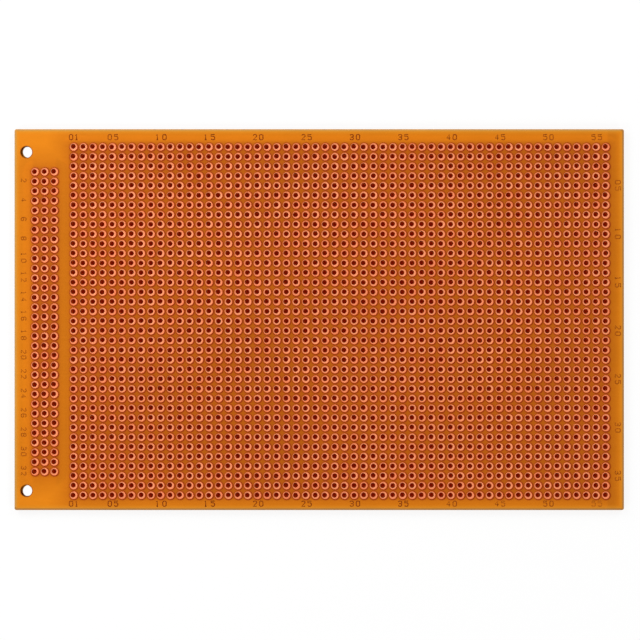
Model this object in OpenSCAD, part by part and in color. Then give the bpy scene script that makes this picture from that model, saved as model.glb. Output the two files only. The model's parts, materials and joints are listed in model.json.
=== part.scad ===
// Prototype board: a phenolic paper plate with a copper ring round each lead hole.
//
// The board lies flat with its copper side up. The origin is the centre of its underside,
// +X runs along the long side, away from the connector field, and +Y runs to the first row.
// Sizes are in millimetres. Holes are placed from two datum edges, the left and the top one.

/* [Board] */
// Length of the plate along X
board_length = 160; // [158:0.5:200]
// Width of the plate along Y
board_width = 100; // [100:0.5:140]
// Thickness of the laminate without its copper
board_thickness = 1.5; // [0.8:0.1:2.4]
// Radius of the plate's four corners
corner_radius = 0.5; // [0.2:0.1:2]

/* [Main field] */
// Distance between neighbouring lead holes, both ways
pitch = 2.54; // [2.5:0.01:2.6]
// Diameter of a drilled lead hole
lead_hole_d = 1.1; // [0.7:0.05:1.3]
// Number of hole columns along X
columns = 56; // [20:1:56]
// Number of hole rows along Y
rows = 37; // [32:1:37]
// Distance of the first column from the left edge
field_left = 15.4; // [15:0.1:16]
// Distance of the first row from the top edge
field_top = 4.6; // [3:0.1:5]

/* [Connector field] */
// Number of hole columns for the edge connector
connector_columns = 3; // [1:1:3]
// Number of hole rows for the edge connector
connector_rows = 32; // [10:1:32]
// Grid steps from the last connector column to the first column of the main field
connector_gap = 2; // [1:1:2]
// Distance of the first connector row from the top edge
connector_top = 11.1; // [10.5:0.1:12]

/* [Fixing holes] */
// Diameter of the two holes that fasten the connector
fixing_hole_d = 3.0; // [2.2:0.1:3.4]
// Distance of both fixing holes from the first connector column, towards the left edge
fixing_offset = 2.12; // [2:0.02:2.6]
// Distance from the first and last connector rows out to the fixing holes
fixing_beyond = 5.08; // [4:0.02:6]

/* [Copper] */
// Outer diameter of a copper ring
pad_d = 2.05; // [1.6:0.05:2.2]
// Thickness of the copper foil
copper_thickness = 0.035; // [0.018:0.001:0.105]
// How far the etched rings sit to the right of the drilled holes
print_shift_x = 0.12; // [0:0.01:0.2]
// How far the etched rings sit below the drilled holes
print_shift_y = 0.07; // [0:0.01:0.2]

/* [Hidden] */
left_edge = -board_length / 2;
top_edge = board_width / 2;
hole_fn = 24;
fixing_fn = 48;

// The plate is one solid. Its faces step back by bay_step in every second bay of columns,
// which is far less than a pressed board is flat to. So each face carries few enough holes
// to be checked quickly.
bay_columns = 4;
bay_step = 0.002;
bays = ceil(columns / bay_columns);

CONNECTOR_NAMES = ["pads_connector_a", "pads_connector_b", "pads_connector_c"];

function row_name(row) = str("pads_row_", row < 10 ? "0" : "", row);
function column_x(column) = left_edge + field_left + (column - 1) * pitch;
function row_y(row) = top_edge - field_top - (row - 1) * pitch;
function connector_x(column) =
    column_x(1) - (connector_gap + connector_columns - column) * pitch;
function connector_y(row) = top_edge - connector_top - (row - 1) * pitch;
// Where bay number b ends: bay 0 holds the connector field, and the last reaches the right edge
function bay_end(b) = b >= bays ? board_length / 2
    : column_x(1) + (b * bay_columns - 0.5) * pitch;

// The plate's outline, with true arcs at its corners
module outline() {
    side = [board_length, board_width];
    inset = 2 * corner_radius;
    square([side.x - inset, side.y], center = true);
    square([side.x, side.y - inset], center = true);
    for (x = [-1, 1], y = [-1, 1])
        translate([x * (side.x - inset) / 2, y * (side.y - inset) / 2])
            circle(r = corner_radius, $fn = hole_fn);
}

module lead_hole() {
    circle(d = lead_hole_d, $fn = hole_fn);
}

module fixing_holes() {
    for (y = [connector_y(1) + fixing_beyond, connector_y(connector_rows) - fixing_beyond])
        translate([connector_x(1) - fixing_offset, y])
            circle(d = fixing_hole_d, $fn = fixing_fn);
}

module connector_holes() {
    for (column = [1 : connector_columns])
        for (row = [1 : connector_rows])
            translate([connector_x(column), connector_y(row)]) lead_hole();
}

// The lead holes of the columns that lie in one bay of the main field
module bay_holes(b) {
    for (column = [(b - 1) * bay_columns + 1 : min(b * bay_columns, columns)])
        for (row = [1 : rows])
            translate([column_x(column), row_y(row)]) lead_hole();
}

// The stretch of the outline that bay b takes up
module bay_outline(b) {
    start = b == 0 ? left_edge : bay_end(b - 1);
    intersection() {
        outline();
        translate([start, -board_width / 2])
            square([bay_end(b) - start, board_width]);
    }
}

module bay(b) {
    back = b % 2 * bay_step;
    translate([0, 0, back])
        linear_extrude(board_thickness - 2 * back)
            difference() {
                bay_outline(b);
                if (b == 0) {
                    connector_holes();
                    fixing_holes();
                } else {
                    bay_holes(b);
                }
            }
}

// The drilled plate
module laminate() {
    color("peru")
        for (b = [0 : bays]) bay(b);
}

// One ring of foil. The drill went through it with the plate, so its bore is the lead hole,
// and its rim is off centre by the shift of the print.
module pad() {
    linear_extrude(copper_thickness)
        difference() {
            translate([print_shift_x, -print_shift_y]) circle(d = pad_d, $fn = hole_fn);
            lead_hole();
        }
}

// The copper rings of one row of the main field
module pad_row(row) {
    color("darksalmon")
        for (column = [1 : columns])
            translate([column_x(column), row_y(row), board_thickness]) pad();
}

// The copper rings of one column of the connector field
module connector_pads(column) {
    color("darksalmon")
        for (row = [1 : connector_rows])
            translate([connector_x(column), connector_y(row), board_thickness]) pad();
}

laminate();
for (row = [1 : rows])
    pad_row(row);
for (column = [1 : connector_columns])
    connector_pads(column);
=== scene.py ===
# %% [markdown]
# A prototype board: a plate of brown phenolic paper, drilled on a square grid, with a copper
# ring round each hole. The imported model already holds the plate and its 2168 rings at their
# real size. What is left for Blender is the look of them: the amber resin that light gets
# into, the etched copper, the thin printed numbers along the edges.
#
# Everything is in metres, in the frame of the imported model: the board lies flat, copper side
# up, with the origin in the middle of its underside.

# %% Load the frame
import json
import math
from collections import namedtuple

import bmesh
import bpy
from mathutils import Matrix, Vector


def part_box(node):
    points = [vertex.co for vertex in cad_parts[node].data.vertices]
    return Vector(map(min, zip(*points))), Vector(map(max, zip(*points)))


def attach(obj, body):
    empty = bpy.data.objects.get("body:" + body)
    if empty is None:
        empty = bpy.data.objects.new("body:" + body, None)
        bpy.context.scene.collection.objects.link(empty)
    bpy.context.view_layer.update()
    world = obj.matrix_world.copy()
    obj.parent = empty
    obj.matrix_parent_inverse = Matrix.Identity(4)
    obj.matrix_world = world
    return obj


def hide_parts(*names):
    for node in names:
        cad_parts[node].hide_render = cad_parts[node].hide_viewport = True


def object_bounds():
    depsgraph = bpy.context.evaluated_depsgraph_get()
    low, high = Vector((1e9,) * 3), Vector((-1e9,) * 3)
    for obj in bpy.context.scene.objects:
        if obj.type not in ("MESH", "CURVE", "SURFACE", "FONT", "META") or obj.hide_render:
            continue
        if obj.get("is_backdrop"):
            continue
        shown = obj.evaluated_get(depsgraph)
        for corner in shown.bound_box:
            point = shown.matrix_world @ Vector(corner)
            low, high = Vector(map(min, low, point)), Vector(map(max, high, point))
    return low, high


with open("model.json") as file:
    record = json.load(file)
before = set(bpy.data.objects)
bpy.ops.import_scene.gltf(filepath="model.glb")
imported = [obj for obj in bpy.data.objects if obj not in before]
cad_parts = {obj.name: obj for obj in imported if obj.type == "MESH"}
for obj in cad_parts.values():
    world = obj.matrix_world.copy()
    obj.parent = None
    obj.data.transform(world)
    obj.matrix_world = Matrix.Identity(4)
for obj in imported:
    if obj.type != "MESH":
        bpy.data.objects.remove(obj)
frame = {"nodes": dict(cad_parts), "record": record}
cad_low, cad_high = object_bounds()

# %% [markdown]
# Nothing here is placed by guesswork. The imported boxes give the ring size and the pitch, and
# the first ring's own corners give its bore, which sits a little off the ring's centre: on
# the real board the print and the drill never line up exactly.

MM = 0.001
Field = namedtuple("Field", "first_x first_y columns rows")

plate_low, plate_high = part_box("laminate")
main_rows = sorted(name for name in frame["nodes"] if name.startswith("pads_row_"))
connector_columns = sorted(name for name in frame["nodes"] if name.startswith("pads_connector_"))

row_low, row_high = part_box(main_rows[0])
_, bottom_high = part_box(main_rows[-1])
ring_r = (row_high.y - row_low.y) / 2
pitch = (row_high.y - bottom_high.y) / (len(main_rows) - 1)
print(f"rings {2 * ring_r / MM:.2f} mm wide, {pitch / MM:.3f} mm apart")


def steps(length):
    """How many rings stand in a line whose box is this long."""
    return round((length - 2 * ring_r) / pitch) + 1


column_low, column_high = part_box(connector_columns[0])
main = Field(
    first_x=row_low.x + ring_r,
    first_y=row_high.y - ring_r,
    columns=steps(row_high.x - row_low.x),
    rows=len(main_rows),
)
connector = Field(
    first_x=column_low.x + ring_r,
    first_y=column_high.y - ring_r,
    columns=len(connector_columns),
    rows=steps(column_high.y - column_low.y),
)
print("main field", main)
print("connector field", connector)

# %% Find the bore of the first ring
first_ring = Vector((main.first_x, main.first_y))
inside_rim = 0.8 * ring_r
near_first = [
    Vector(v.co.xy) - first_ring
    for v in frame["nodes"][main_rows[0]].data.vertices
    if (Vector(v.co.xy) - first_ring).length < inside_rim
]
bore_low = Vector((min(v.x for v in near_first), min(v.y for v in near_first)))
bore_high = Vector((max(v.x for v in near_first), max(v.y for v in near_first)))
drill = (bore_low + bore_high) / 2
hole_r = (bore_high.x - bore_low.x) / 2
print(f"bore {2 * hole_r / MM:.2f} mm, off the ring by {drill.x / MM:.2f}, {drill.y / MM:.2f} mm")

# %% Find the fixing holes
fixing = next(m for m in frame["record"]["mounts"] if m["name"] == "connector_fixing")
fixing_r = fixing["dims"]["hole_r_mm"] * MM
fixing_reach = fixing["dims"]["spacing_y_mm"] * MM / 2
fixing_middle = Vector(fixing["pos_m"])
fixing_holes = [fixing_middle + Vector((0, side * fixing_reach, 0)) for side in (1, -1)]
print("fixing holes at", [tuple(round(c / MM, 2) for c in hole) for hole in fixing_holes])

# %% [markdown]
# The camera looks straight down from a little under half a metre, near enough for the outer
# holes to show a sliver of their walls. The lens follows from that height and from how much
# of the board's plane the picture takes in.

# %% Camera
camera_height = 0.45
picture_width = 168.0 * MM
picture_centre = Vector((0.2 * MM, -0.1 * MM))

camera_data = bpy.data.cameras.new("camera")
camera_data.sensor_width = 36
camera_data.lens = camera_data.sensor_width * camera_height / picture_width
camera_data.clip_start = 0.01
camera = bpy.data.objects.new("camera", camera_data)
camera.location = (*picture_centre, cad_high.z + camera_height)
bpy.context.scene.collection.objects.link(camera)
bpy.context.scene.camera = camera
print(f"lens {camera_data.lens:.1f} mm")

# %% [markdown]
# The plate is one piece with 2168 round holes. A boolean with that many cutters is slow and
# leaves long slivers, so it is built the way the grid repeats: one square tile with a hole in
# it, copied along a row, the row copied down the field, and the tiles welded. The margins are
# then filled between the fields, the fixing holes and the outline, and the sheet is given its
# thickness.

# %% One tile of the grid
hole_sides = 16
fixing_sides = 48
weld = 0.001 * MM


def loop_of(bm, sides, radius, at, turn=0.0):
    """A closed loop of edges round a place, with no face."""
    place = Matrix.Translation(at) @ Matrix.Rotation(turn, 4, "Z")
    made = bmesh.ops.create_circle(bm, segments=sides, radius=radius, matrix=place)
    return list({edge for vert in made["verts"] for edge in vert.link_edges})


def tile(bm, at):
    """One square of the grid with its hole."""
    hole = loop_of(bm, hole_sides, hole_r, at)
    square = loop_of(bm, 4, pitch / math.sqrt(2), at, math.radians(45))
    bmesh.ops.triangle_fill(bm, use_beauty=True, edges=hole + square)


# %% Tiles into fields
def repeat(bm, count, step):
    """Copies all of bm in a line. A spin with no turn and a step is an array."""
    bmesh.ops.spin(
        bm,
        geom=bm.verts[:] + bm.edges[:] + bm.faces[:],
        axis=(0, 0, 1),
        dvec=step,
        angle=0,
        steps=count - 1,
        use_duplicate=True,
    )


def field_sheet(field):
    """The flat mesh of one field of holes."""
    bm = bmesh.new()
    tile(bm, (field.first_x + drill.x, field.first_y + drill.y, plate_high.z))
    repeat(bm, field.columns, (pitch, 0, 0))
    repeat(bm, field.rows, (0, -pitch, 0))
    bmesh.ops.remove_doubles(bm, verts=bm.verts, dist=weld)
    sheet = bpy.data.meshes.new("field_sheet")
    bm.to_mesh(sheet)
    bm.free()
    return sheet


sheets = [field_sheet(field) for field in (main, connector)]
print("tiles hold", sum(len(sheet.polygons) for sheet in sheets), "faces")

# %% The outline
plate_mesh = frame["nodes"]["laminate"].data
side_end = max(v.co.y for v in plate_mesh.vertices if v.co.x > plate_high.x - weld)
corner_r = plate_high.y - side_end
print(f"corners rounded by {corner_r / MM:.2f} mm")


def outline(bm):
    """The board's outline as a loop of edges, its sides cut into steps about a pitch long."""
    others = set(bm.edges)
    middle = (plate_low + plate_high) / 2
    place = Matrix.Translation((middle.x, middle.y, plate_high.z))
    half = Matrix.Diagonal((plate_high.x - middle.x, plate_high.y - middle.y, 1, 1))
    grid = bmesh.ops.create_grid(bm, x_segments=1, y_segments=1, size=1, matrix=place @ half)
    bmesh.ops.bevel(
        bm,
        geom=grid["verts"],
        offset=corner_r,
        segments=4,
        profile=0.5,
        affect="VERTICES",
        material=-1,
    )
    sides = [edge for edge in bm.edges if edge not in others and edge.calc_length() > 2 * corner_r]
    bmesh.ops.delete(bm, geom=list(sides[0].link_faces), context="FACES_ONLY")
    for side in sides:
        bmesh.ops.subdivide_edges(bm, edges=[side], cuts=round(side.calc_length() / pitch))
    return [edge for edge in bm.edges if edge not in others]


# %% The plate
edge_break = 0.08 * MM
sharp_edge = 1.0  # radians between two faces


def is_outer(vert):
    """Whether a corner lies on the board's outer edge."""
    past_side = min(vert.co.x - plate_low.x, plate_high.x - vert.co.x) < corner_r
    past_end = min(vert.co.y - plate_low.y, plate_high.y - vert.co.y) < corner_r
    return past_side or past_end


def plate():
    """The whole drilled plate, closed, with its cut edges just broken."""
    bm = bmesh.new()
    for sheet in sheets:
        bm.from_mesh(sheet)
    border = [edge for edge in bm.edges if edge.is_boundary and edge.calc_length() > pitch / 2]
    border += outline(bm)
    for hole in fixing_holes:
        border += loop_of(bm, fixing_sides, fixing_r, (hole.x, hole.y, plate_high.z))
    bmesh.ops.triangle_fill(bm, use_beauty=True, edges=border)

    below = bmesh.ops.extrude_face_region(bm, geom=bm.faces[:])["geom"]
    lowered = [vert for vert in below if isinstance(vert, bmesh.types.BMVert)]
    bmesh.ops.translate(bm, verts=lowered, vec=(0, 0, plate_low.z - plate_high.z))
    bmesh.ops.recalc_face_normals(bm, faces=bm.faces)

    broken = [
        edge for edge in bm.edges
        if is_outer(edge.verts[0]) and is_outer(edge.verts[1])
        and abs(edge.verts[0].co.z - edge.verts[1].co.z) < weld
        and edge.calc_face_angle(0) > sharp_edge
    ]
    bmesh.ops.bevel(
        bm, geom=broken, offset=edge_break, segments=2, profile=0.5, affect="EDGES", material=-1
    )
    bm.normal_update()
    lay_out(bm)
    mesh = bpy.data.meshes.new("phenolic_plate")
    bm.to_mesh(mesh)
    bm.free()
    return mesh


# %% [markdown]
# The plate also gets a map of its own for when its look is stored as a picture. The copper
# side is laid out as it is seen from above, with the sheared edges folded outwards round it
# and each hole's wall pressed flat into the empty disc of its hole. The reverse side comes
# beside it. So neighbours on the plate stay neighbours on the map.

# %% Holes by place
def nearest_in(field, at):
    """The hole of a field that is nearest to a place."""
    first = Vector((field.first_x, field.first_y)) + drill
    column = round((at.x - first.x) / pitch)
    row = round((first.y - at.y) / pitch)
    column = min(max(column, 0), field.columns - 1)
    row = min(max(row, 0), field.rows - 1)
    return first + Vector((column, -row)) * pitch


def nearest_hole(at):
    centres = [nearest_in(main, at), nearest_in(connector, at), *(hole.xy for hole in fixing_holes)]
    return min(centres, key=lambda centre: (centre - at).length)


# %% Lay the plate out flat
map_border = 3 * MM
wall_squeeze = 0.5
upright = 0.5  # a face whose normal rises or falls less than this is a wall


def laid_out(vert, hole):
    """Where a corner lies on the copper side's map, in metres. A wall's corner has its hole."""
    at = vert.co.xy
    depth = plate_high.z - vert.co.z
    if hole:
        return at + (hole - at) * wall_squeeze * depth / (plate_high.z - plate_low.z)
    inner = Vector((
        min(max(at.x, plate_low.x + corner_r), plate_high.x - corner_r),
        min(max(at.y, plate_low.y + corner_r), plate_high.y - corner_r),
    ))
    outward = at - inner
    return at + outward.normalized() * depth if outward.length > weld else at


def lay_out(bm):
    """Gives bm its map: the copper side in the upper half, the reverse side in the lower."""
    layer = bm.loops.layers.uv.new("OFBake")
    half = plate_high.xy + Vector((map_border, map_border))
    side = 4 * half.y
    for face in bm.faces:
        below = face.normal.z < -upright
        is_wall = abs(face.normal.z) < upright and not is_outer(face.verts[0])
        hole = nearest_hole(face.calc_center_median().xy) if is_wall else None
        for loop in face.loops:
            if below:
                place = Vector((-loop.vert.co.x + half.x, loop.vert.co.y + half.y))
            else:
                place = laid_out(loop.vert, hole) + half + Vector((0, 2 * half.y))
            loop[layer].uv = place / side


# %% Put the plate in the scene
def add_piece(name, mesh):
    """A finished piece: its object at the origin, carried by the board's one body."""
    piece = bpy.data.objects.new(name, mesh)
    bpy.context.scene.collection.objects.link(piece)
    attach(piece, "root")
    return piece


phenolic_plate = add_piece("phenolic_plate", plate())
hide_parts("laminate")
print("plate:", sum(len(face.vertices) - 2 for face in phenolic_plate.data.polygons), "triangles")

# %% [markdown]
# A material here is a sum: how far a point is from the nearest ring, how deep it lies in the
# plate, how the fibres run. Such sums read best as Python, so a small class stands for the
# output of a node, and each operator on it adds the Math node that works it out.

# %% Wires: sums in a material
class Wire:
    """The output of a node. Sums and products of wires add the Math nodes for them."""

    def __init__(self, finish, socket):
        self.finish = finish
        self.socket = socket

    def maths(self, operation, *others):
        inputs = dict(enumerate((self, *others)))
        return self.finish.node("ShaderNodeMath", {"operation": operation}, inputs)

    def __add__(self, other):
        return self.maths("ADD", other)

    def __radd__(self, other):
        return self + other

    def __mul__(self, other):
        return self.maths("MULTIPLY", other)

    def __sub__(self, other):
        return self.maths("SUBTRACT", other)

    def __rsub__(self, other):
        return self * -1 + other

    def __truediv__(self, other):
        return self.maths("DIVIDE", other)

    def __abs__(self):
        return self.maths("ABSOLUTE")

    def __round__(self):
        return self.maths("ROUND")

    def at_least(self, other):
        return self.maths("MAXIMUM", other)

    def at_most(self, other):
        return self.maths("MINIMUM", other)

    def root(self):
        return self.maths("SQRT")

    def rise(self, low, high):
        """Runs smoothly from 0 at low to 1 at high, or down if high is the lower."""
        start, end, first, last = (low, high, 0.0, 1.0) if low < high else (high, low, 1.0, 0.0)
        source = {"Value": self, "From Min": start, "From Max": end}
        target = {"To Min": first, "To Max": last}
        settings = {"interpolation_type": "SMOOTHSTEP"}
        return self.finish.node("ShaderNodeMapRange", settings, source | target)


# %% Trees of nodes
def shade(red, green, blue):
    """A colour as a picture editor gives it, 0 to 255, in the linear values that shaders use."""
    parts = (channel / 255 for channel in (red, green, blue))
    linear = [((c + 0.055) / 1.055) ** 2.4 if c > 0.04045 else c / 12.92 for c in parts]
    return (*linear, 1.0)


class Tree:
    """A node tree, with the one method that adds its nodes."""

    def __init__(self, tree):
        self.tree = tree

    def node(self, kind, settings=None, inputs=None, output=0):
        """Adds a node: its settings, then the values or wires of its sockets."""
        made = self.tree.nodes.new(kind)
        for name, value in (settings or {}).items():
            if name == "stops":
                self.set_stops(made.color_ramp, value)
            else:
                setattr(made, name, value)
        for name, value in (inputs or {}).items():
            self.fill(made.inputs[name], value)
        return Wire(self, made.outputs[output])

    def fill(self, socket, value):
        if isinstance(value, Wire):
            self.tree.links.new(value.socket, socket)
        else:
            socket.default_value = value

    def set_stops(self, ramp, stops):
        while len(ramp.elements) < len(stops):
            ramp.elements.new(1.0)
        for element, (place, colour) in zip(ramp.elements, stops):
            element.position = place
            element.color = colour

    def split(self, vector):
        made = self.node("ShaderNodeSeparateXYZ", inputs={"Vector": vector})
        return [Wire(self, output) for output in made.socket.node.outputs]


# %% Finishes: one material each
class Finish(Tree):
    """A material in the making, on its piece's own coordinates."""

    def __init__(self, name):
        self.material = bpy.data.materials.new(name)
        self.material.use_nodes = True
        super().__init__(self.material.node_tree)
        self.shader = self.tree.nodes["Principled BSDF"]
        self.point = self.node("ShaderNodeTexCoord", output="Object")
        self.x, self.y, self.z = self.split(self.point)

    def mix(self, share, colour, other):
        """A colour between two colours, by a share from 0 to 1."""
        inputs = {0: share, 6: colour, 7: other}
        return self.node("ShaderNodeMix", {"data_type": "RGBA"}, inputs, output=2)

    def scaled(self, colour, amount):
        """A colour made lighter or darker by an amount that varies."""
        settings = {"data_type": "RGBA", "blend_type": "MULTIPLY"}
        channels = dict.fromkeys(("Red", "Green", "Blue"), amount)
        grey = self.node("ShaderNodeCombineColor", inputs=channels)
        return self.node("ShaderNodeMix", settings, {0: 1.0, 6: colour, 7: grey}, output=2)

    def noise(self, scale, stretch=(1, 1, 1), detail=2.0, roughness=0.5):
        """A cloudy value from 0 to 1 whose blotches are about a metre over scale wide."""
        scaling = {"Vector": self.point, "Scale": stretch}
        place = self.node("ShaderNodeMapping", inputs=scaling)
        inputs = {"Vector": place, "Scale": scale, "Detail": detail, "Roughness": roughness}
        return self.node("ShaderNodeTexNoise", inputs=inputs)

    def set(self, **values):
        """Fills the shader's own sockets, named with _ for a space."""
        for name, value in values.items():
            self.fill(self.shader.inputs[name.replace("_", " ")], value)

    def bump(self, height, distance):
        """Tilts the surface as a relief would whose height is this many times the distance."""
        inputs = {"Height": height, "Distance": distance, "Strength": 1.0}
        self.set(Normal=self.node("ShaderNodeBump", inputs=inputs))


# %% [markdown]
# Phenolic paper lets light in, and the light spreads inside it. Copper on top keeps it out,
# so the board is brown between the rings, with a thin dark line round each one, and glows
# amber in the bare margins. Here that light and shade are painted into the paper's colour:
# painted shade between the rings and in the line, painted light in the margins. The line is
# wider at the lower right, where the ring shades the resin from the stronger light. All of that
# depends on two distances. The first is to the nearest ring, which folding the coordinates by
# the pitch gives without a loop over 2168 rings; the fold is held to the field's own rows and
# columns. The second is how far a point lies outside a field. The margins don't all glow alike:
# those at the left and the top, next to the stronger light, are painted brighter than the one at
# the right and the strip between the fields.

# %% How far a point is from the nearest ring
def from_grid(finish, field, shift):
    """Distance in mm to the nearest grid point of a field, moved by shift."""
    across = finish.x - (field.first_x + shift.x)
    down = (field.first_y + shift.y) - finish.y
    column = round(across / pitch).at_least(0).at_most(field.columns - 1)
    row = round(down / pitch).at_least(0).at_most(field.rows - 1)
    off_x = across - column * pitch
    off_y = down - row * pitch
    return (off_x * off_x + off_y * off_y).root() / MM


def outside(finish, field):
    """Distance in mm out from the rectangle through a field's outermost ring centres."""
    half_x = (field.columns - 1) * pitch / 2
    half_y = (field.rows - 1) * pitch / 2
    off_x = (abs(finish.x - (field.first_x + half_x)) - half_x).at_least(0)
    off_y = (abs(finish.y - (field.first_y - half_y)) - half_y).at_least(0)
    return (off_x * off_x + off_y * off_y).root() / MM


def from_fixing(finish, shift=Vector((0, 0))):
    """Distance in mm to the nearer fixing hole's centre, moved by shift."""
    off_x = finish.x - (fixing_middle.x + shift.x)
    off_y = abs(finish.y - fixing_middle.y) - (fixing_reach + shift.y)
    return (off_x * off_x + off_y * off_y).root() / MM


# %% Phenolic paper, copper side
laminate = Finish("phenolic_paper")
# Moves the painted shade line so that it is wider at the lower right.
shade_side = Vector((0.09, -0.07)) * MM


def to_nearest(finish, shift):
    """Distance in mm to the nearest grid point of either field, moved by shift."""
    return from_grid(finish, main, shift).at_most(from_grid(finish, connector, shift))


to_ring = to_nearest(laminate, shade_side)
to_connector = outside(laminate, connector)
to_field = outside(laminate, main).at_most(to_connector)

glow_reach = 8.0  # mm out from a field
# Painted shade near the fields, painted light further out in the margins.
glow = laminate.node(
    "ShaderNodeValToRGB",
    {
        "stops": [
            (0.4 / glow_reach, shade(186, 92, 8)),
            (1.7 / glow_reach, shade(211, 115, 10)),
            (3.5 / glow_reach, shade(219, 123, 12)),
            (7.5 / glow_reach, shade(232, 134, 16)),
        ]
    },
    {"Fac": to_field / glow_reach},
)

# %% Painted light in the margins
lit_share = 0.10
gap_share = 0.08
right_share = 0.13
main_right = main.first_x + (main.columns - 1) * pitch
connector_right = connector.first_x + (connector.columns - 1) * pitch
past_left = laminate.x.rise(connector.first_x, connector.first_x - MM)
past_top = laminate.y.rise(main.first_y + MM, main.first_y + 2 * MM)
near_field = to_field.rise(3.6, 2.6)
past_connector = laminate.x.rise(connector_right, connector_right + MM)
before_main = laminate.x.rise(main.first_x, main.first_x - MM)
in_gap = past_connector * before_main * to_connector.rise(4.0, 3.0)
past_main = laminate.x.rise(main_right, main_right + MM)
before_rim = laminate.x.rise(main_right + 4 * MM, main_right + 2 * MM)
# Painted light in the margins next to the stronger lamp; painted shade at the right and between the
# fields.
brighter = past_left.at_least(past_top) * near_field * lit_share
darker = (in_gap * gap_share).at_least(past_main * before_rim * right_share)
painted_margin_light = laminate.scaled(glow, 1 + brighter - darker)

# %% The painted shade line round each ring
line_outer = 1.42  # mm from a ring's centre
line_inner = 1.06
line_share = 0.9
# Painted shade where the ring keeps light out of the resin.
painted_ring_shade = to_ring.rise(line_outer, line_inner) * line_share
between_rings = laminate.mix(painted_ring_shade, painted_margin_light, shade(146, 40, 0))

# %% [markdown]
# The paper itself is not even. Pulp lies in soft clouds a few millimetres wide, and single
# fibres show as short pale strokes along the length of the sheet. Both are noise, one round
# and one stretched, and both stay within a few percent, because the resin fills everything.

# %% Fibres and clouds
clouds = laminate.noise(60, detail=3.0)
fibres = laminate.noise(1400, stretch=(0.18, 1, 1), detail=3.0, roughness=0.6)
mottle = 0.80 + clouds * 0.16 + fibres * 0.08

# %% [markdown]
# On the reverse side there is no copper, but the rings on the far side still keep light out:
# the sheet is painted browner behind the two fields, as painted shade, and painted lighter in
# the margins. The paper round each punched hole has turned paler, more so in the main field.

# %% Phenolic paper, reverse side
to_main_hole = from_grid(laminate, main, drill)
to_connector_hole = from_grid(laminate, connector, drill)
# Painted shade behind the rings on the far side, painted light in the margins.
painted_shade_behind_rings = to_field.rise(3.0, 0.8)
bare_sheet = laminate.mix(painted_shade_behind_rings, shade(224, 120, 0), shade(210, 107, 0))
main_surround = to_main_hole.rise(0.92, 0.78)
connector_surround = to_connector_hole.rise(0.76, 0.64) * 0.5
pale_surround = main_surround.at_least(connector_surround)
component_side = laminate.mix(pale_surround, bare_sheet, shade(244, 152, 92))

# %% [markdown]
# The plate was sheared from a larger sheet, so its edge shows the pressed layers of paper.
# The outermost millimetre and a half of the face is painted paler, as painted light that also
# comes in from the side, and ends in an olive line, a painted highlight, painted darker as shade
# along the sides that face away from the light.
# Which face a point is on follows from its own normal.

# %% Edges and layers
facing = laminate.node("ShaderNodeTexCoord", output="Normal")
_, _, facing_up = laminate.split(facing)
to_side = (cad_high.x - abs(laminate.x)).at_most(cad_high.y - abs(laminate.y)) / MM
layers = laminate.noise(9000, stretch=(0.02, 0.02, 1), detail=1.0)
cut_edge = laminate.mix(layers, shade(150, 84, 20), shade(214, 146, 50))
# Painted light along the outermost millimetre and a half of the face.
painted_rim_light = laminate.mix(to_side.rise(1.6, 0.3) * 0.5, between_rings, shade(226, 152, 40))
# The olive line is a painted highlight, painted darker as shade at the right and the bottom.
past_right = abs(laminate.x - cad_high.x).rise(1.0 * MM, 0.5 * MM)
past_bottom = abs(laminate.y - cad_low.y).rise(1.0 * MM, 0.5 * MM)
in_shade = past_right.at_least(past_bottom)
painted_edge_highlight = laminate.mix(in_shade, shade(208, 152, 74), shade(174, 122, 60))
copper_side = laminate.mix(to_side.rise(0.7, 0.3) * 0.9, painted_rim_light, painted_edge_highlight)

# %% [markdown]
# Down a lead hole the eye meets a deep red: almost no light reaches the bottom from above,
# and what comes through the wall has crossed the resin, which only red light gets through.
# A real scattering volume would be slow and would not leave Blender, so the walls of the
# lead holes give off that faint red by themselves, as a painted glow. The walls of both kinds
# of hole are painted dark maroon, partly the cut resin's own colour and partly painted shade;
# in the wider fixing holes, which have no glow, the dark is painted shade. A thin brown line
# runs round the fixing holes' mouths.

# %% Holes
on_face = abs(facing_up).rise(0.3, 0.6)
to_hole = to_main_hole.at_most(to_connector_hole)
lead_r = hole_r / MM
in_lead_hole = to_hole.rise(lead_r * 1.15, lead_r * 1.02) * (1 - on_face)
to_fixing = from_fixing(laminate)
screw_r = fixing_r / MM
in_fixing_hole = to_fixing.rise(screw_r * 1.1, screw_r * 1.02) * (1 - on_face)
fixing_line = to_fixing.rise(screw_r + 0.3, screw_r + 0.05) * 0.8

# %% Put the laminate together
faces = laminate.mix(facing_up.rise(-0.2, 0.2), component_side, copper_side)
faces = laminate.mix(fixing_line, faces, shade(130, 60, 8))
# Painted dark: partly the cut resin's own colour, partly painted shade; in the fixing holes,
# painted shade.
walls = laminate.mix(in_lead_hole, cut_edge, shade(74, 12, 2))
walls = laminate.mix(in_fixing_hole, walls, shade(60, 10, 2))
colour = laminate.mix(on_face, walls, faces)
# Painted light: the faint red glow of the lead-hole walls.
red_light = (0.17, 0.010, 0.0, 1)
no_light = (0, 0, 0, 1)
fibre_height = 0.006 * MM
laminate.set(
    Base_Color=laminate.scaled(colour, mottle),
    Roughness=0.42 + fibres * 0.2,
    Emission_Color=laminate.mix(in_lead_hole, no_light, red_light),
    Emission_Strength=1.0,
    Specular_IOR_Level=0.12,
)
laminate.bump(fibres + clouds, fibre_height)
laminate.material.cycles.emission_sampling = "NONE"
phenolic_plate.data.materials.append(laminate.material)
print("laminate has", len(laminate.tree.nodes), "nodes")

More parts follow.
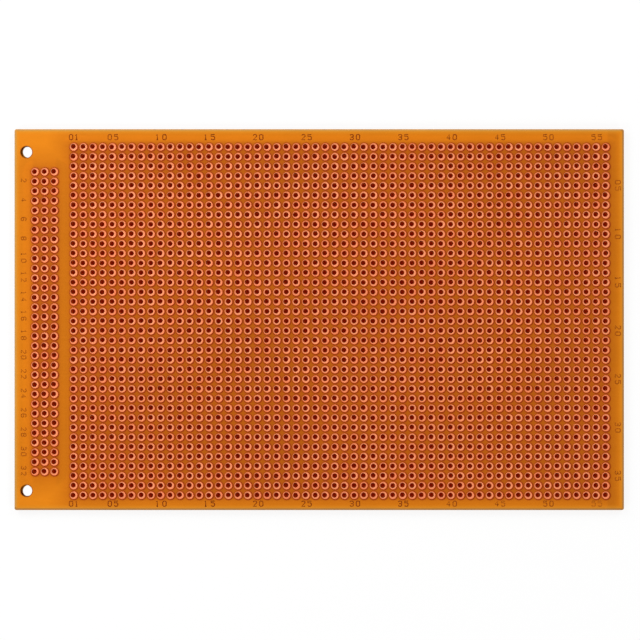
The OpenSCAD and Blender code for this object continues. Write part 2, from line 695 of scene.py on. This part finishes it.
# %% [markdown]
# The rings are bare copper foil under a thin flux lacquer: salmon pink, half matt from the
# etching bath, and never two quite alike, since each has taken its own share of air and
# fingers. Three values drawn for each grid square give every ring its own tone, and its lip a
# place of its own, without a material of its own. The drill has pressed the foil down towards
# the bore, so each ring is a shallow dish that is brighter on the side facing the light. The
# lip bends into the hole, and its dark colour there is painted shade. The lip and the worn rim
# have lost their lacquer, so they are more metallic than the rest and throw back less white
# light.

# %% Copper
copper = Finish("etched_copper")


def ring_lots(finish):
    """Three random values that stay the same all over one ring."""
    in_connector = finish.x.maths("LESS_THAN", (main.first_x + connector_right) / 2)
    first_y = main.first_y + in_connector * (connector.first_y - main.first_y)
    column = round((finish.x - main.first_x) / pitch)
    row = round((first_y - finish.y) / pitch)
    ring = finish.node("ShaderNodeCombineXYZ", inputs={"X": column, "Y": row})
    settings = {"noise_dimensions": "2D"}
    lots = finish.node("ShaderNodeTexWhiteNoise", settings, {"Vector": ring}, output="Color")
    return finish.split(lots)


tone_lot, lean_x, lean_y = ring_lots(copper)
stain = copper.noise(700, detail=2.0)
blush = copper.noise(30, detail=1.0)
tone = copper.mix(tone_lot * 0.5 + stain * 0.5, shade(242, 122, 74), shade(255, 160, 110))
copper_colour = copper.scaled(tone, 0.92 + blush * 0.16)

# %% Rims and bores of the rings
Shift = namedtuple("Shift", "x y")
lean = 0.16 * MM
lip_place = Shift(drill.x + (lean_x - 0.5) * lean, drill.y + (lean_y - 0.5) * lean)
rim = ring_r / MM
edge_wear = to_nearest(copper, Shift(0, 0)).rise(rim - 0.2, rim)
to_lip = to_nearest(copper, lip_place) + stain * 0.08
bore_lip = to_lip.rise(lead_r + 0.2, lead_r + 0.05)
worn = copper.mix(edge_wear * 0.8, copper_colour, shade(238, 108, 26))
# The lip's dark colour is painted shade where the copper bends into the hole.
copper.set(
    Base_Color=copper.mix(bore_lip, worn, shade(104, 24, 2)),
    Metallic=bore_lip.at_least(edge_wear * 0.4).at_least(0.15),
    Roughness=0.38 + stain * 0.2,
)

# %% The dish of each ring
dish_depth = 0.08 * MM
dish = to_nearest(copper, drill).rise(lead_r, lead_r + 0.5)
grain = copper.noise(5000, detail=2.0) * 0.03
copper.bump(dish + grain, dish_depth)

# %% Put the copper on the rings
for name in main_rows + connector_columns:
    rings = frame["nodes"][name]
    rings.data.materials.clear()
    rings.data.materials.append(copper.material)
print("copper on", len(main_rows) + len(connector_columns), "sets of rings")

# %% [markdown]
# The printed legend counts the columns and rows in fives, and every second row of the
# connector field, where the print is smaller and faded. It is thin brown ink that hardly
# stands out, and thinner still towards the right. Each digit is drawn as a plotter would draw
# it, in straight strokes of one width, and pressed flat, so that it is a real layer of ink with
# a height of its own.

# %% Ink
ink = Finish("legend_ink")
wear = ink.noise(2500, detail=2.0)
ink_colour = ink.mix(wear, shade(100, 32, 0), shade(152, 62, 0))
thin_print = ink.noise(75, detail=1.0).rise(0.45, 0.75) * 0.3
in_left_margin = ink.x.rise(plate_low.x + 6 * MM, plate_low.x + 5 * MM) * 0.4
far_end = ink.x.rise(0.0, plate_high.x) * 0.3
faded = (thin_print + far_end).at_least(in_left_margin)
ink.set(
    Base_Color=ink.mix(faded, ink_colour, shade(210, 116, 16)),
    Roughness=0.7,
    Specular_IOR_Level=0.1,
)
ink_grain = 0.002 * MM
ink.bump(wear, ink_grain)

# %% The digits
# Each stroke is a run of points, given as column and row on a grid of 4 by 6 steps.
strokes_of = {
    "0": ["10 30 41 45 36 16 05 01 10"],
    "1": ["05 16 10", "00 20"],
    "2": ["05 16 36 45 44 00 40"],
    "3": ["05 16 36 45 44 33 13", "33 42 41 30 10 01"],
    "4": ["30 36 02 42"],
    "5": ["46 06 04 34 43 41 30 10 01"],
    "6": ["45 36 16 05 01 10 30 41 42 33 03"],
    "7": ["06 46 10"],
    "8": ["13 04 05 16 36 45 44 33 13 02 01 10 30 41 42 33"],
    "9": ["43 13 04 05 16 36 45 41 30 10 01"],
}
grid_step = 0.225 * MM
digit_width = 4 * grid_step
digit_height = 6 * grid_step
digit_advance = 1.66 * MM
stroke_width = 0.27 * MM
ink_thickness = 0.012 * MM


def add_stroke(curve, points, start_x):
    """Adds one stroke. A stroke that ends where it starts is closed."""
    closed = points[0] == points[-1]
    if closed:
        points = points[:-1]
    spline = curve.splines.new("POLY")
    spline.points.add(len(points) - 1)
    for made, point in zip(spline.points, points):
        made.co = (start_x + int(point[0]) * grid_step, int(point[1]) * grid_step, 0, 1)
    spline.use_cyclic_u = closed


# %% Numbers
def number(text, place, turn, size=1.0):
    """One printed number as a mesh, centred on its place and turned clockwise."""
    curve = bpy.data.curves.new("number", "CURVE")
    curve.dimensions = "3D"
    curve.bevel_depth = stroke_width / 2
    curve.bevel_resolution = 1
    curve.use_fill_caps = True
    for position, digit in enumerate(text):
        for stroke in strokes_of[digit]:
            add_stroke(curve, stroke.split(), position * digit_advance)
    holder = bpy.data.objects.new("number", curve)
    mesh = bpy.data.meshes.new_from_object(holder)
    middle = Vector(((len(text) - 1) * digit_advance + digit_width, digit_height, 0)) / 2
    flat = Matrix.Diagonal((size, size, ink_thickness / stroke_width, 1))
    pressed = flat @ Matrix.Translation(-middle)
    lying = Matrix.Translation((place.x, place.y, plate_high.z + ink_thickness / 2))
    mesh.transform(lying @ Matrix.Rotation(-turn, 4, "Z") @ pressed)
    bpy.data.objects.remove(holder)
    bpy.data.curves.remove(curve)
    return mesh


def legend(name, numbers):
    """One side's numbers as one piece. numbers holds what number() takes for each."""
    bm = bmesh.new()
    for printed in numbers:
        mesh = number(*printed)
        bm.from_mesh(mesh)
        bpy.data.meshes.remove(mesh)
    bmesh.ops.remove_doubles(bm, verts=bm.verts, dist=weld)
    bmesh.ops.recalc_face_normals(bm, faces=bm.faces)
    joined = bpy.data.meshes.new(name)
    bm.to_mesh(joined)
    bm.free()
    piece = add_piece(name, joined)
    piece.data.materials.append(ink.material)
    print(name, "holds", len(numbers), "numbers and", len(piece.data.polygons), "faces")


# %% Print the legend
legend_shift = 0.28 * MM
left_shift = 0.2 * MM
left_size = 0.92


def column_x(column):
    return main.first_x + drill.x + (column - 1) * pitch


def row_y(row):
    return main.first_y + drill.y - (row - 1) * pitch


def connector_y(row):
    return connector.first_y + drill.y - (row - 1) * pitch


counted_columns = [1, *range(5, main.columns, 5)]
counted_rows = range(5, main.rows, 5)
quarter = math.radians(90)
top_line = plate_high.y - 2.1 * MM
bottom_line = plate_low.y + 1.68 * MM
right_line = plate_high.x - 1.6 * MM
left_line = plate_low.x + 2.4 * MM


def along(line):
    """The columns' numbers on a line along the board."""
    return [(f"{c:02d}", Vector((column_x(c) + legend_shift, line)), 0) for c in counted_columns]


legend("legend_top", along(top_line))
legend("legend_bottom", along(bottom_line))
legend(
    "legend_right",
    [(f"{row:02d}", Vector((right_line, row_y(row))), quarter) for row in counted_rows],
)
legend(
    "legend_left",
    [
        (str(row), Vector((left_line, connector_y(row) + left_shift)), quarter, left_size)
        for row in range(2, connector.rows + 1, 2)
    ],
)

# %% [markdown]
# The light is flat and comes from all round, but not from straight above, where the camera
# hangs: so the narrow lead holes stay dark, and the copper and the resin show their own
# colour instead of a white gleam. Four wide lamps stand low round the board. The one at the
# upper left is stronger and nearer, so the board darkens a little towards the lower right,
# and a weak sky that is dark at its top fills in.

# %% Lamps
lamp_size = 0.4
lamp_lean = math.radians(58)


def lamp(name, azimuth, share, distance=0.8):
    """A soft lamp that gives the board's middle this share of plain full light."""
    data = bpy.data.lights.new(name, "AREA")
    data.shape = "DISK"
    data.size = lamp_size
    data.energy = share * math.pi**2 * distance**2 / math.cos(lamp_lean)
    light = bpy.data.objects.new(name, data)
    out = Vector((math.cos(azimuth), math.sin(azimuth), 0)) * math.sin(lamp_lean)
    light.location = (out + Vector((0, 0, math.cos(lamp_lean)))) * distance
    light.rotation_euler = (-light.location).to_track_quat("-Z", "Y").to_euler()
    bpy.context.scene.collection.objects.link(light)


lamp("lamp_upper_left", math.radians(135), 0.36, distance=0.48)
lamp("lamp_upper_right", math.radians(45), 0.19)
lamp("lamp_lower_left", math.radians(225), 0.19)
lamp("lamp_lower_right", math.radians(315), 0.14)

# %% Sky
sky_strength = 0.45
sky_below = 0.5
dark_within = math.radians(28)  # from straight up
full_beyond = math.radians(48)
world = bpy.data.worlds.new("sky")
world.use_nodes = True
bpy.context.scene.world = world
sky = Tree(world.node_tree)
_, _, height = sky.split(sky.node("ShaderNodeTexCoord", output="Generated"))
dark_top = height.rise(math.cos(dark_within), math.cos(full_beyond))
from_below = height.rise(0.0, -0.1)
seen_sky = Wire(sky, sky.node("ShaderNodeLightPath").socket.node.outputs["Is Camera Ray"])
sky_light = (dark_top * sky_strength + from_below * sky_below).at_least(seen_sky)
background = world.node_tree.nodes["Background"].inputs
sky.fill(background["Color"], (1, 1, 1, 1))
sky.fill(background["Strength"], sky_light)

# %% [markdown]
# The table is plain white card. To the camera it is mostly white backdrop, which keeps the
# board's shadow soft and pale. In the fixing holes it is white as well, but for a painted
# crescent of shadow where the hole's edge shades it. Under the board, where it shows only
# through the lead holes, it is painted deep red: painted light, as white card is in light that
# has come through the resin. Seen from beneath it isn't there at all, and it lets light up to
# the underside, so that a camera below the table sees the reverse of the board.

# %% Table
backdrop_share = 0.85
card = Finish("white_card")
past_x = abs(card.x) - plate_high.x
past_y = abs(card.y) - plate_high.y
clear_of_board = past_x.at_least(past_y).rise(-0.2 * MM, 0.0)
# Moves the white disc so that a painted crescent of shadow stays at each fixing hole's left.
crescent = Vector((0.32, 0.16)) * MM
under_fixing = from_fixing(card, crescent).rise(screw_r * 1.03, screw_r * 0.95)
# Painted light: the deep red of the card under the board.
painted_red_light = (0.9, 0.32, 0.0, 1)
white = (0.97, 0.97, 0.97, 1)
card_colour = card.mix(clear_of_board, painted_red_light, white)
card.set(Base_Color=card_colour, Roughness=0.9, Specular_IOR_Level=0.1)

# %% What the camera sees of the card
path = card.node("ShaderNodeLightPath").socket.node.outputs
by_camera = Wire(card, path["Is Camera Ray"])
seen = by_camera.at_least(Wire(card, path["Is Glossy Ray"]))
seen = seen.at_least(Wire(card, path["Is Transmission Ray"]))
backdrop = card.node("ShaderNodeEmission", inputs={"Color": (1, 1, 1, 1), "Strength": 1.0})
share = (seen * clear_of_board * backdrop_share).at_least(by_camera * under_fixing)
card_shader = Wire(card, card.shader.outputs[0])
blended = card.node("ShaderNodeMixShader", inputs={0: share, 1: card_shader, 2: backdrop})

# %% Where the card lets light through
from_beneath = card.node("ShaderNodeNewGeometry", output="Backfacing")
card_to_fixing = from_fixing(card) - (screw_r - lead_r)
to_any_hole = to_nearest(card, drill).at_most(card_to_fixing)
between_holes = to_any_hole.rise(lead_r, lead_r + 0.05)
light_gap = (1 - clear_of_board) * (1 - by_camera) * between_holes
let_through = from_beneath.at_least(light_gap)
unseen = card.node("ShaderNodeBsdfTransparent")
surface = card.node("ShaderNodeMixShader", inputs={0: let_through, 1: blended, 2: unseen})
card.fill(card.tree.nodes["Material Output"].inputs["Surface"], surface)
print("card has", len(card.tree.nodes), "nodes")

# %% Put the table under the board
table_drop = 0.05 * MM
table_half = 6
floor_bm = bmesh.new()
table_place = Matrix.Translation((0, 0, cad_low.z - table_drop))
bmesh.ops.create_grid(floor_bm, x_segments=1, y_segments=1, size=table_half, matrix=table_place)
floor_mesh = bpy.data.meshes.new("table_top")
floor_bm.to_mesh(floor_mesh)
floor_bm.free()
floor_mesh.materials.append(card.material)
floor = bpy.data.objects.new("table_top", floor_mesh)
bpy.context.scene.collection.objects.link(floor)
floor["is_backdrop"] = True

bpy.context.scene.view_settings.view_transform = "Standard"

# %% Print the sizes and finish
low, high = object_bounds()
sizes = {"cad": [list(cad_low), list(cad_high)], "visual": [list(low), list(high)]}
print(sizes)
